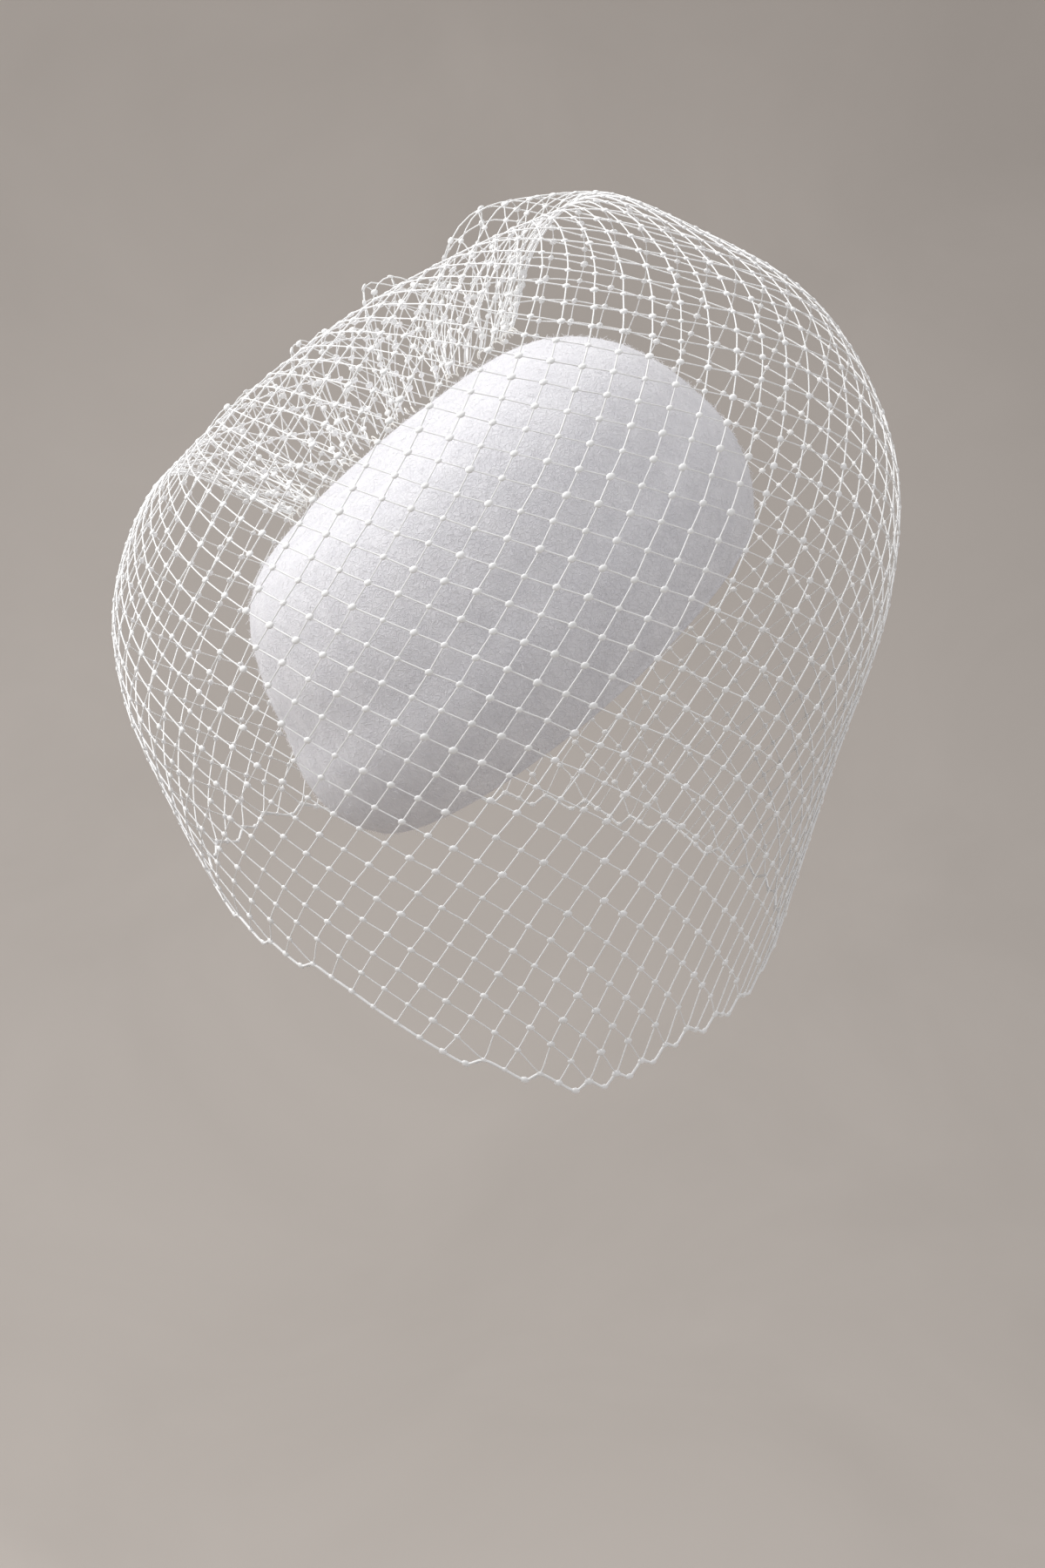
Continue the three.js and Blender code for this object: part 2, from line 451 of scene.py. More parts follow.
@dataclass
class FeltCrown:
    """The blocked felt crown with its soft hair.

    Attributes:
        frame: The tilt it is worn at.
        sections: Its sections from the rim up.
        middle: Height of the tip's middle.
        wall: Thickness of the felt.
        front_to_side: Its depth as a share of its width.
        sides: Faces round it.
        unevenness: How far hand blocking leaves it from a smooth form.
        hairs_per_cm2: Loose hairs on each square centimetre.
        seed: Seed for all that is random.
    """

    frame: WornFrame
    sections: tuple[Section, ...] = (
        Section(1.5, 80.6, 79.6),
        Section(6, 83.6, 82.8),
        Section(16, 86.2, 87.0),
        Section(28, 85.2, 88.8),
        Section(40, 80.8, 87.6),
        Section(54, 76.6, 84.2),
        Section(65, 71.6, 79.0),
        Section(73, 66.8, 72.6),
        Section(79.5, 60.4, 64.4),
        Section(83.4, 53.0, 54.6),
        Section(85, 44.0, 44.6),
        Section(85, 30.0, 30.0),
        Section(84.2, 14.0, 14.0),
        Section(83.7, 4.0, 4.0),
    )
    middle: float = 83.6
    wall: float = 3.0
    front_to_side: float = 0.95
    sides: int = 144
    unevenness: float = 0.5
    hairs_per_cm2: float = 17.0
    seed: int = 7

    def profile(self) -> Array:
        """Smooths the sections.

        Returns:
            Rows of height, left and right from the rim to the tip.
        """
        knots = np.array([[(s.height, s.left, s.right)] for s in self.sections])
        return catmull(knots, [4] * (len(self.sections) - 1))[:, 0]

    def inner(self, outer: Array) -> Array:
        """Moves a profile inwards by the felt's thickness.

        Args:
            outer: Rows of height, left and right.

        Returns:
            The inner rows.
        """
        run = np.gradient(outer[:, 1] + outer[:, 2]) / 2
        rise = np.gradient(outer[:, 0])
        length = np.hypot(run, rise)
        moved = outer.copy()
        moved[:, 0] += self.wall * run / length
        moved[:, 1] -= self.wall * rise / length
        moved[:, 2] -= self.wall * rise / length
        moved[0, 0] = outer[0, 0]
        return moved

    def rim(self, outer: Array, inner: Array) -> Array:
        """Rounds the turned edge between the inner and the outer wall.

        Args:
            outer: The outer profile.
            inner: The inner profile.

        Returns:
            Rows from the inner to the outer wall.
        """
        turns = np.radians(np.linspace(0, 180, 9))[1:-1]
        share = (1 - np.cos(turns)) / 2
        rows = inner[0] + (outer[0] - inner[0]) * share[:, None]
        rows[:, 0] = outer[0, 0] - np.sin(turns) * outer[0, 0]
        return rows

    def ring(self, rows: Array) -> Array:
        """Turns profile rows into rings.

        Args:
            rows: Rows of height, left and right.

        Returns:
            Points, shape (rows, sides, 3).
        """
        angle = np.linspace(0, 2 * np.pi, self.sides, endpoint=False)[None, :]
        across, along = np.cos(angle), np.sin(angle)
        side = np.where(across > 0, rows[:, 2:3], rows[:, 1:2])
        depth = self.front_to_side * (rows[:, 1:2] + rows[:, 2:3]) / 2
        return np.stack([side * across, depth * along, rows[:, :1] + 0 * across], axis=-1)

    def rippled(self, points: Array) -> Array:
        """Leaves the slight waves that hand blocking leaves, alike on both faces of the felt.

        Args:
            points: Points in the hat's frame.

        Returns:
            The moved points.
        """
        centre = np.array([0.0, 0.0, 30.0])
        outwards = points - centre
        outwards /= np.linalg.norm(outwards, axis=1, keepdims=True)
        wave = [noise.noise(Vector(o) * 2.6) + 0.4 * noise.noise(Vector(o) * 7.0) for o in outwards]
        fade = np.clip(points[:, 2] / 12, 0, 1)
        return points + outwards * (self.unevenness * np.array(wave) * fade)[:, None]

    def build(self, felt: bpy.types.Material) -> bpy.types.Object:
        """Builds the crown as one closed wall with a rounded rim.

        Args:
            felt: Its material.

        Returns:
            The crown.
        """
        outer = self.profile()
        inner = self.inner(outer)
        rows = np.concatenate([inner[::-1], self.rim(outer, inner), outer])
        rings = self.ring(rows)
        count = len(rows)
        points = np.concatenate([rings.reshape(-1, 3), [[0, 0, self.middle - self.wall], [0, 0, self.middle]]])
        faces = []
        for j in range(self.sides):
            k = (j + 1) % self.sides
            faces.append((count * self.sides, k, j))
            faces.append((count * self.sides + 1, (count - 1) * self.sides + j, (count - 1) * self.sides + k))
            for i in range(count - 1):
                a, b = i * self.sides, (i + 1) * self.sides
                faces.append((a + j, a + k, b + k, b + j))
        crown = mesh_object("crown_felt", self.frame.place(self.rippled(points)), faces)
        crown.data.materials.append(felt)
        crown.data.shade_smooth()
        return crown

    def hair_tree(self, hair: bpy.types.Material) -> bpy.types.NodeTree:
        """Makes the tree that scatters loose hairs over the felt.

        Args:
            hair: Their material.

        Returns:
            The geometry tree.
        """
        tree = new_tree(
            "loose wool hairs",
            {"Hair Length": 2.2 * MM, "Hair Radius": 0.045 * MM, "Hairs per m2": self.hairs_per_cm2 * 1e4},
            {"Seed": self.seed},
        )
        given = add_node(tree, "NodeGroupInput").outputs
        length, radius = given["Hair Length"], given["Hair Radius"]
        spots = add_node(
            tree,
            "GeometryNodeDistributePointsOnFaces",
            {},
            {"Mesh": given["Geometry"], "Density": given["Hairs per m2"], "Seed": given["Seed"]},
        )
        middle = add_node(
            tree,
            "ShaderNodeVectorMath",
            {"operation": "SCALE", 0: (0.42, 0.1, 0.14)},
            {"Scale": length},
        )
        end = add_node(
            tree,
            "ShaderNodeVectorMath",
            {"operation": "SCALE", 0: (0.75, -0.25, 0.3)},
            {"Scale": length},
        )
        curl = add_node(
            tree,
            "GeometryNodeCurveQuadraticBezier",
            {"Resolution": 3, "Start": (0.0, 0.0, 0.0)},
            {"Middle": middle.outputs["Vector"], "End": end.outputs["Vector"]},
        )
        section = add_node(tree, "GeometryNodeCurvePrimitiveCircle", {"Resolution": 3}, {"Radius": radius})
        strand = add_node(
            tree, "GeometryNodeCurveToMesh", {}, {"Curve": curl.outputs["Curve"], "Profile Curve": section.outputs["Curve"]}
        )
        spin = add_node(
            tree,
            "FunctionNodeRandomValue",
            {"data_type": "FLOAT_VECTOR", "Min": (-0.5, -0.25, 0.0), "Max": (0.5, 0.25, 6.283)},
            {"Seed": given["Seed"]},
        )
        turn = add_node(
            tree,
            "FunctionNodeRotateRotation",
            {"rotation_space": "LOCAL"},
            {"Rotation": spots.outputs["Rotation"], "Rotate By": find_output(spin)},
        )
        size = add_node(
            tree,
            "FunctionNodeRandomValue",
            {"data_type": "FLOAT", "Min": 0.5, "Max": 1.3},
            {"Seed": given["Seed"]},
        )
        scattered = add_node(
            tree,
            "GeometryNodeInstanceOnPoints",
            {},
            {
                "Points": spots.outputs["Points"],
                "Instance": strand.outputs["Mesh"],
                "Rotation": turn.outputs["Rotation"],
                "Scale": find_output(size),
            },
        )
        finish_tree(tree, scattered.outputs["Instances"], hair)
        return tree

    def build_hair(self, crown: bpy.types.Object, hair: bpy.types.Material) -> bpy.types.Object:
        """Grows loose hairs on the outside of the crown.

        Args:
            crown: The finished crown.
            hair: Their material.

        Returns:
            The hairs as one mesh.
        """
        inner_rows = len(self.profile())
        first = inner_rows * self.sides
        points = np.array([v.co for v in crown.data.vertices])
        faces = [tuple(p.vertices) for p in crown.data.polygons if min(p.vertices) >= first]
        return grown("crown_hair", self.hair_tree(hair), points, faces, [], {})


# --------------------------------------------------------------------------
# Geometry trees
# --------------------------------------------------------------------------
def new_tree(name: str, sizes: dict[str, float], counts: dict[str, int]) -> bpy.types.NodeTree:
    """Starts a geometry tree with named inputs.

    Args:
        name: The tree's name.
        sizes: Its float inputs with their values.
        counts: Its whole number inputs with their values.

    Returns:
        The tree, with a geometry input and output.
    """
    tree = bpy.data.node_groups.new(name, "GeometryNodeTree")
    tree.interface.new_socket("Geometry", in_out="INPUT", socket_type="NodeSocketGeometry")
    tree.interface.new_socket("Geometry", in_out="OUTPUT", socket_type="NodeSocketGeometry")
    for kind, values in (("NodeSocketFloat", sizes), ("NodeSocketInt", counts)):
        for key, value in values.items():
            tree.interface.new_socket(key, in_out="INPUT", socket_type=kind).default_value = value
    return tree


def guided(tree: bpy.types.NodeTree) -> tuple[bpy.types.NodeSocket, bpy.types.NodeSocket]:
    """Reads the guide points' directions and the turn that follows them.

    Args:
        tree: The tree.

    Returns:
        The outward direction, and the turn with Z outwards and X beside.
    """
    outwards, beside = (
        add_node(tree, "GeometryNodeInputNamedAttribute", {"data_type": "FLOAT_VECTOR", "Name": name})
        for name in ("outwards", "beside")
    )
    kind = "FunctionNodeAlignRotationToVector"
    facing = add_node(tree, kind, {"axis": "Z"}, {"Vector": outwards.outputs["Attribute"]})
    turned = add_node(
        tree,
        kind,
        {"axis": "X", "pivot_axis": "Z"},
        {"Rotation": facing.outputs["Rotation"], "Vector": beside.outputs["Attribute"]},
    )
    return outwards.outputs["Attribute"], turned.outputs["Rotation"]


def finish_tree(tree: bpy.types.NodeTree, geometry: bpy.types.NodeSocket, material: bpy.types.Material) -> None:
    """Ends a geometry tree: real meshes, smooth, with their material.

    Args:
        tree: The tree.
        geometry: What it made.
        material: The material to set.
    """
    real = add_node(tree, "GeometryNodeRealizeInstances", {}, {"Geometry": geometry})
    smooth = add_node(tree, "GeometryNodeSetShadeSmooth", {}, {"Geometry": real.outputs["Geometry"]})
    dressed = add_node(
        tree,
        "GeometryNodeSetMaterial",
        {"Material": material},
        {"Geometry": smooth.outputs["Geometry"]},
    )
    add_node(tree, "NodeGroupOutput", {}, {"Geometry": dressed.outputs["Geometry"]})


def grown(
    name: str,
    tree: bpy.types.NodeTree,
    points: Array,
    faces: Iterable[Sequence[int]],
    edges: Iterable[Sequence[int]],
    directions: dict[str, Array],
    values: dict[str, float] | None = None,
) -> bpy.types.Object:
    """Runs a geometry tree on a guide mesh and keeps the result as a plain mesh.

    Args:
        name: The piece's name.
        tree: The geometry tree.
        points: The guide's vertices, in metres.
        faces: The guide's faces.
        edges: The guide's loose edges.
        directions: Vector attributes on the guide's vertices.
        values: Values for the tree's named inputs.

    Returns:
        The piece.
    """
    piece = mesh_object(name, points, faces, edges)
    for key, vectors in directions.items():
        layer = piece.data.attributes.new(key, "FLOAT_VECTOR", "POINT")
        layer.data.foreach_set("vector", np.asarray(vectors, np.float32).ravel())
    modifier = piece.modifiers.new(name, "NODES")
    modifier.node_group = tree
    for item in tree.interface.items_tree:
        if item.item_type == "SOCKET" and item.in_out == "INPUT" and item.name in (values or {}):
            modifier[item.identifier] = values[item.name]
    graph = bpy.context.evaluated_depsgraph_get()
    made = bpy.data.meshes.new_from_object(
        piece.evaluated_get(graph), preserve_all_data_layers=True, depsgraph=graph
    )
    # Guide lines and points have no finish and leave an empty slot that no face uses.
    for empty in reversed([i for i, finish in enumerate(made.materials) if finish is None]):
        made.materials.pop(index=empty)
    piece.modifiers.remove(modifier)
    guide, piece.data = piece.data, made
    bpy.data.meshes.remove(guide)
    made.name = name
    return piece


# --------------------------------------------------------------------------
# The veil
# --------------------------------------------------------------------------
@dataclass(frozen=True)
class Hoop:
    """A hoop round the veil, as its two side ends and its reach.

    Attributes:
        left_x: Side end on the wearer's right.
        left_h: Height of that end.
        right_x: Side end on the wearer's left.
        right_h: Height of that end.
        back_y: How far back its middle is.
        front: Reach forward.
        back: Reach back.
        bow: How far the ends bow forward.
        front_drop: How much its front drops.
        back_rise: How much its back rises.
        chin: Drop of the point over the chin.
        fold: How strongly the folds show.
        pinch: How far the net is drawn together in the valleys.
    """

    left_x: float
    left_h: float
    right_x: float
    right_h: float
    back_y: float
    front: float
    back: float
    bow: float = 0.0
    front_drop: float = 0.0
    back_rise: float = 0.0
    chin: float = 0.0
    fold: float = 0.0
    pinch: float = 0.0


@dataclass(frozen=True)
class Valley:
    """A valley between two puffs.

    Attributes:
        angle: Where it lies round the veil, in degrees over the back.
        steep: Width of its steep side.
        gentle: Width of its gentle side.
        depth: How deep it cuts.
    """

    angle: float
    steep: float
    gentle: float
    depth: float


@dataclass
class Netting:
    """What the net is made of, worked out as knots and threads.

    Attributes:
        knots: The place of each knot by half column and row.
        outwards: The surface's direction at each knot.
        beside: The direction of the rows at each knot.
        tops: The gathered end of each half column.
    """

    knots: dict[tuple[int, int], Array] = field(default_factory=dict)
    outwards: dict[tuple[int, int], Array] = field(default_factory=dict)
    beside: dict[tuple[int, int], Array] = field(default_factory=dict)
    tops: list[Array] = field(default_factory=list)


class Panel(Enum):
    """The two halves that the net is kept in."""

    FRONT = "veil_front"
    BACK = "veil_back"


@dataclass
class Veil:
    """The gathered veil of diamond netting.

    Attributes:
        frame: The tilt it is worn at.
        hoops: Its form from the gather to the hem.
        valleys: The valleys between its puffs.
        cells: Cells round it.
        thread: Length of a thread between two knots.
        radius: Half the thread's thickness.
        hem_radius: Half the thickness of the doubled hem thread.
        hem_pull: How far the hem thread evens out the last knots, from 0 to 1.
        knot: Length, width and depth of a knot.
        slack: How far a knot sits from its even place.
        even_hoops: The hoops that the cells are even along; rows count from the last.
        seed: Seed for all that is random.
        pinch_width: How far round a valley draws the net in, in degrees.
        chin_at: Where the point over the chin is, as a cosine round the hem.
        chin_left: How wide the point is towards the wearer's right.
        chin_right: How wide it is towards the wearer's left.
        steps: Points between two hoops.
        smoothing: How often the rows are evened out round the veil.
        least_rise: Least height of a row, as a share of the thread.
        knot_scale: Least and most half size of a knot, as a share of its size.
    """

    frame: WornFrame
    hoops: tuple[Hoop, ...] = (
        Hoop(-40, 86, 54, 86, 54, 4, 4, bow=18, pinch=0.9),
        Hoop(-52, 103, 78, 101, 60, 18, 15, bow=12, front_drop=-4, back_rise=6, fold=0.5, pinch=0.6),
        Hoop(-62, 121, 100, 102, 52, 48, 31, bow=4, front_drop=-14, back_rise=23, fold=1.05, pinch=0.2),
        Hoop(-78, 119, 120, 72, 36, 86, 54, front_drop=-16, back_rise=24, fold=1.05),
        Hoop(-100, 103, 134, 32, 18, 106, 78, front_drop=-4, back_rise=8, fold=0.4),
        Hoop(-113, 81, 125, -12, 6, 110, 92, front_drop=2, fold=0.12),
        Hoop(-120, 58, 99, -44, 0, 106, 98, front_drop=4, chin=3),
        Hoop(-125, 38, 54, -74, -4, 98, 98, front_drop=8, chin=10),
        Hoop(-129, 17, -2, -112, -8, 90, 94, front_drop=9, back_rise=-8, chin=30),
    )
    valleys: tuple[Valley, ...] = (
        Valley(65, 6, 20, 20),
        Valley(94, 6, 18, 18),
        Valley(119, 6, 18, 12),
        Valley(150, 10, 14, 5),
    )
    cells: int = 52
    thread: float = 8.6
    radius: float = 0.235
    hem_radius: float = 0.42
    hem_pull: float = 0.6
    knot: tuple[float, float, float] = (2.5, 1.9, 1.0)
    slack: float = 0.12
    even_hoops: tuple[int, ...] = (3, 5)
    seed: int = 11
    pinch_width: float = 13.0
    chin_at: float = -0.2
    chin_left: float = 0.42
    chin_right: float = 0.8
    steps: int = 24
    smoothing: int = 60
    least_rise: float = 0.66
    knot_scale: tuple[float, float] = (0.42, 0.6)

    def drawn_together(self, angle: Array, pinch: float) -> Array:
        """Slides columns towards the valleys.

        Args:
            angle: Angles round the veil, in degrees.
            pinch: How far they are drawn, from 0 to 1.

        Returns:
            The new angles.
        """
        moved = angle.copy()
        for valley in self.valleys:
            away = (angle - valley.angle + 180) % 360 - 180
            moved = moved - pinch * away * np.exp(-((away / self.pinch_width) ** 2))
        return moved

    def hoop_points(self, hoop: Hoop, angle: Array) -> Array:
        """Places points on a hoop.

        Args:
            hoop: The hoop.
            angle: Angles in degrees; 0 is +X, 90 the back and 270 the front.

        Returns:
            The points in the hat's frame.
        """
        angle = self.drawn_together(angle, hoop.pinch)
        across, along = np.cos(np.radians(angle)), np.sin(np.radians(angle))
        behind = along > 0
        middle = np.array([(hoop.left_x + hoop.right_x) / 2, hoop.back_y, (hoop.left_h + hoop.right_h) / 2])
        reach = np.where(behind, hoop.back, hoop.front)
        lift = np.where(behind, hoop.back_rise, -hoop.front_drop)
        away = across - self.chin_at
        point = np.exp(-((away / np.where(away < 0, self.chin_left, self.chin_right)) ** 2))
        points = np.stack(
            [
                middle[0] + across * (hoop.right_x - hoop.left_x) / 2,
                middle[1] + reach * along - hoop.bow * across**2,
                middle[2]
                + across * (hoop.right_h - hoop.left_h) / 2
                + lift * along**2
                + np.minimum(along, 0) * hoop.chin * point,
            ],
            axis=-1,
        )
        outwards = points - middle
        outwards /= np.linalg.norm(outwards, axis=-1, keepdims=True)
        outwards[:, 2] += hoop.fold
        outwards /= np.linalg.norm(outwards, axis=-1, keepdims=True)
        cut = np.zeros_like(angle)
        for valley in self.valleys:
            away = (angle - valley.angle + 180) % 360 - 180
            cut = cut + valley.depth * np.exp(-((away / np.where(away < 0, valley.steep, valley.gentle)) ** 2))
        return points - outwards * (hoop.fold * cut)[:, None]

    def stations(self) -> Array:
        """Spaces the half columns evenly, on average, along the even hoops.

        Returns:
            Their angles, in degrees.
        """
        fine = np.linspace(0, 360, 1441)
        along = np.zeros(len(fine))
        for hoop in self.even_hoops:
            steps = np.linalg.norm(np.diff(self.hoop_points(self.hoops[hoop], fine), axis=0), axis=1)
            along[1:] += np.cumsum(steps)
        return np.interp(np.linspace(0, along[-1], 2 * self.cells, endpoint=False), along, fine)

    def netting(self) -> Netting:
        """Lays diamond netting on the veil's form, with rows spaced for the thread's length.

        The rows are evened out round the veil, so single threads come out shorter
        or longer than that length where the net is gathered or folded.

        Returns:
            The knots and the gathered ends.
        """
        angles = self.stations()
        paths = catmull(np.array([self.hoop_points(h, angles) for h in self.hoops]), [self.steps] * (len(self.hoops) - 1))
        gap = np.linalg.norm(np.diff(paths, axis=0), axis=-1)
        beside = (np.roll(paths, -1, 1) - np.roll(paths, 1, 1)) / 2
        width = np.linalg.norm(beside, axis=-1)
        rise = np.sqrt(np.maximum(self.thread**2 - width**2, (self.least_rise * self.thread) ** 2))
        for _ in range(self.smoothing):
            rise = (np.roll(rise, 1, 1) + 2 * rise + np.roll(rise, -1, 1)) / 4
        rows = np.concatenate(
            [np.zeros((1, len(angles))), np.cumsum(gap / ((rise[1:] + rise[:-1]) / 2), axis=0)]
        )
        rows -= rows[self.even_hoops[-1] * self.steps]
        down = np.gradient(paths, axis=0)
        outwards = np.cross(down, beside)
        rng = np.random.default_rng(self.seed)
        net = Netting(tops=list(paths[0]))
        for k in range(len(angles)):
            for row in range(math.ceil(rows[0, k] + 0.3), math.floor(rows[-1, k]) + 1):
                if (k + row) % 2:
                    continue
                spot = [np.interp(row, rows[:, k], paths[:, k, i]) for i in range(3)]
                place = int(np.searchsorted(rows[:, k], row).clip(0, len(rows) - 1))
                normal = outwards[place, k] / (np.linalg.norm(outwards[place, k]) + 1e-9)
                shift = rng.normal(0, self.slack, 3)
                net.knots[k, row] = np.array(spot) + shift - normal * (shift @ normal)
                net.outwards[k, row] = normal
                net.beside[k, row] = beside[place, k] / (width[place, k] + 1e-9)
        return net

    def runs(self, net: Netting) -> list[list[tuple[int, int]]]:
        """Follows each thread from the gather down to the hem.

        Args:
            net: The netting.

        Returns:
            The knots on each thread in order.
        """
        count = 2 * self.cells
        found = []
        for turn in (1, -1):
            for k, row in net.knots:
                if ((k - turn) % count, row - 1) in net.knots:
                    continue
                run = [(k, row)]
                while ((run[-1][0] + turn) % count, run[-1][1] + 1) in net.knots:
                    run.append(((run[-1][0] + turn) % count, run[-1][1] + 1))
                found.append(run)
        return found

    def hem_run(self, net: Netting) -> list[tuple[int, int]]:
        """Finds the last knot of each half column, which the hem thread joins."""
        last: dict[int, int] = {}
        for k, row in net.knots:
            last[k] = max(row, last.get(k, row))
        return [(k, last[k]) for k in range(2 * self.cells)]

    def even_hem(self, net: Netting) -> None:
        """Draws the last knots towards a smooth line, as the doubled thread does.

        Args:
            net: The netting, whose last knots are moved.
        """
        run = self.hem_run(net)
        line = np.array([net.knots[spot] for spot in run])
        smooth = line.copy()
        for _ in range(6):
            smooth = (np.roll(smooth, 1, 0) + 2 * smooth + np.roll(smooth, -1, 0)) / 4
        for spot, old, new in zip(run, line, smooth):
            net.knots[spot] = old + (new - old) * self.hem_pull

    def panel_of(self, k: int) -> Panel:
        """Tells which half of the net a half column is in."""
        return Panel.FRONT if self._angles[k] >= 180 else Panel.BACK

    def net_tree(self, nylon: bpy.types.Material) -> bpy.types.NodeTree:
        """Makes the tree that turns guide lines and points into threads and knots.

        Args:
            nylon: Their material.

        Returns:
            The geometry tree.
        """
        length, width, depth = (size * MM for size in self.knot)
        tree = new_tree(
            "netting",
            {"Thread Radius": self.radius * MM, "Knot Length": length, "Knot Width": width, "Knot Depth": depth},
            {"Thread Sides": 4, "Steps Between Knots": 3, "Seed": self.seed},
        )
        given = add_node(tree, "NodeGroupInput").outputs
        lines = add_node(tree, "GeometryNodeMeshToCurve", {}, {"Mesh": given["Geometry"]})
        smooth = add_node(
            tree, "GeometryNodeCurveSplineType", {"spline_type": "CATMULL_ROM"}, {"Curve": lines.outputs["Curve"]}
        )
        fine = add_node(
            tree,
            "GeometryNodeSetSplineResolution",
            {},
            {"Geometry": smooth.outputs["Curve"], "Resolution": given["Steps Between Knots"]},
        )
        section = add_node(
            tree,
            "GeometryNodeCurvePrimitiveCircle",
            {},
            {"Resolution": given["Thread Sides"], "Radius": given["Thread Radius"]},
        )
        threads = add_node(
            tree,
            "GeometryNodeCurveToMesh",
            {"Fill Caps": True},
            {"Curve": fine.outputs["Geometry"], "Profile Curve": section.outputs["Curve"]},
        )
        outwards, turned = guided(tree)
        is_knot = add_node(tree, "ShaderNodeVectorMath", {"operation": "LENGTH"}, {0: outwards})
        size = add_node(
            tree,
            "ShaderNodeCombineXYZ",
            {},
            {"X": given["Knot Length"], "Y": given["Knot Width"], "Z": given["Knot Depth"]},
        )
        least, most = self.knot_scale
        vary = add_node(
            tree,
            "FunctionNodeRandomValue",
            {"data_type": "FLOAT", "Min": least, "Max": most},
            {"Seed": given["Seed"]},
        )
        scale = add_node(
            tree, "ShaderNodeVectorMath", {"operation": "SCALE"}, {0: size.outputs["Vector"], "Scale": find_output(vary)}
        )
        bead = add_node(tree, "GeometryNodeMeshUVSphere", {"Segments": 8, "Rings": 5, "Radius": 1.0})
        knots = add_node(
            tree,
            "GeometryNodeInstanceOnPoints",
            {},
            {
                "Points": given["Geometry"],
                "Selection": is_knot.outputs["Value"],
                "Instance": bead.outputs["Mesh"],
                "Rotation": turned,
                "Scale": scale.outputs["Vector"],
            },
        )
        both = add_node(tree, "GeometryNodeJoinGeometry")
        tree.links.new(threads.outputs["Mesh"], both.inputs["Geometry"])
        tree.links.new(knots.outputs["Instances"], both.inputs["Geometry"])
        finish_tree(tree, both.outputs["Geometry"], nylon)
        return tree

    def build(self, nylon: bpy.types.Material) -> tuple[dict[Panel, bpy.types.Object], bpy.types.Object]:
        """Builds the two halves of the net and its hem.

        Args:
            nylon: The netting's material.

        Returns:
            The halves by name, and the hem.
        """
        self._angles = self.stations()
        self._knots: dict[Panel, int] = {}
        net = self.netting()
        self.even_hem(net)
        tree = self.net_tree(nylon)
        halves = {}
        runs = self.runs(net)
        for panel in Panel:
            points: list[Array] = []
            edges: list[tuple[int, int]] = []
            for run in runs:
                line = [(net.tops[run[0][0]], run[0][0])] + [(net.knots[spot], spot[0]) for spot in run]
                joined = False
                for (here, k), (there, _) in zip(line[:-1], line[1:]):
                    if self.panel_of(k) is not panel:
                        joined = False
                        continue
                    if not joined:
                        points.append(here)
                    points.append(there)
                    edges.append((len(points) - 2, len(points) - 1))
                    joined = True
            marks = [spot for spot in net.knots if self.panel_of(spot[0]) is panel]
            self._knots[panel] = len(marks)
            blank = np.zeros((len(points), 3))
            points += [net.knots[spot] for spot in marks]
            directions = {
                "outwards": self.frame.direct(np.concatenate([blank, [net.outwards[s] for s in marks]])),
                "beside": self.frame.direct(np.concatenate([blank, [net.beside[s] for s in marks]])),
            }
            halves[panel] = grown(panel.value, tree, self.frame.place(np.array(points)), [], edges, directions)
            LOG.info("%s: %d knots, %d threads", panel.value, len(marks), len(edges))
        hem = [net.knots[spot] for spot in self.hem_run(net)]
        ring = [(i, (i + 1) % len(hem)) for i in range(len(hem))]
        blank = {"outwards": np.zeros((len(hem), 3)), "beside": np.zeros((len(hem), 3))}
        values = {"Thread Radius": self.hem_radius * MM, "Thread Sides": 6, "Steps Between Knots": 4}
        return halves, grown("veil_hem", tree, self.frame.place(np.array(hem)), [], ring, blank, values)


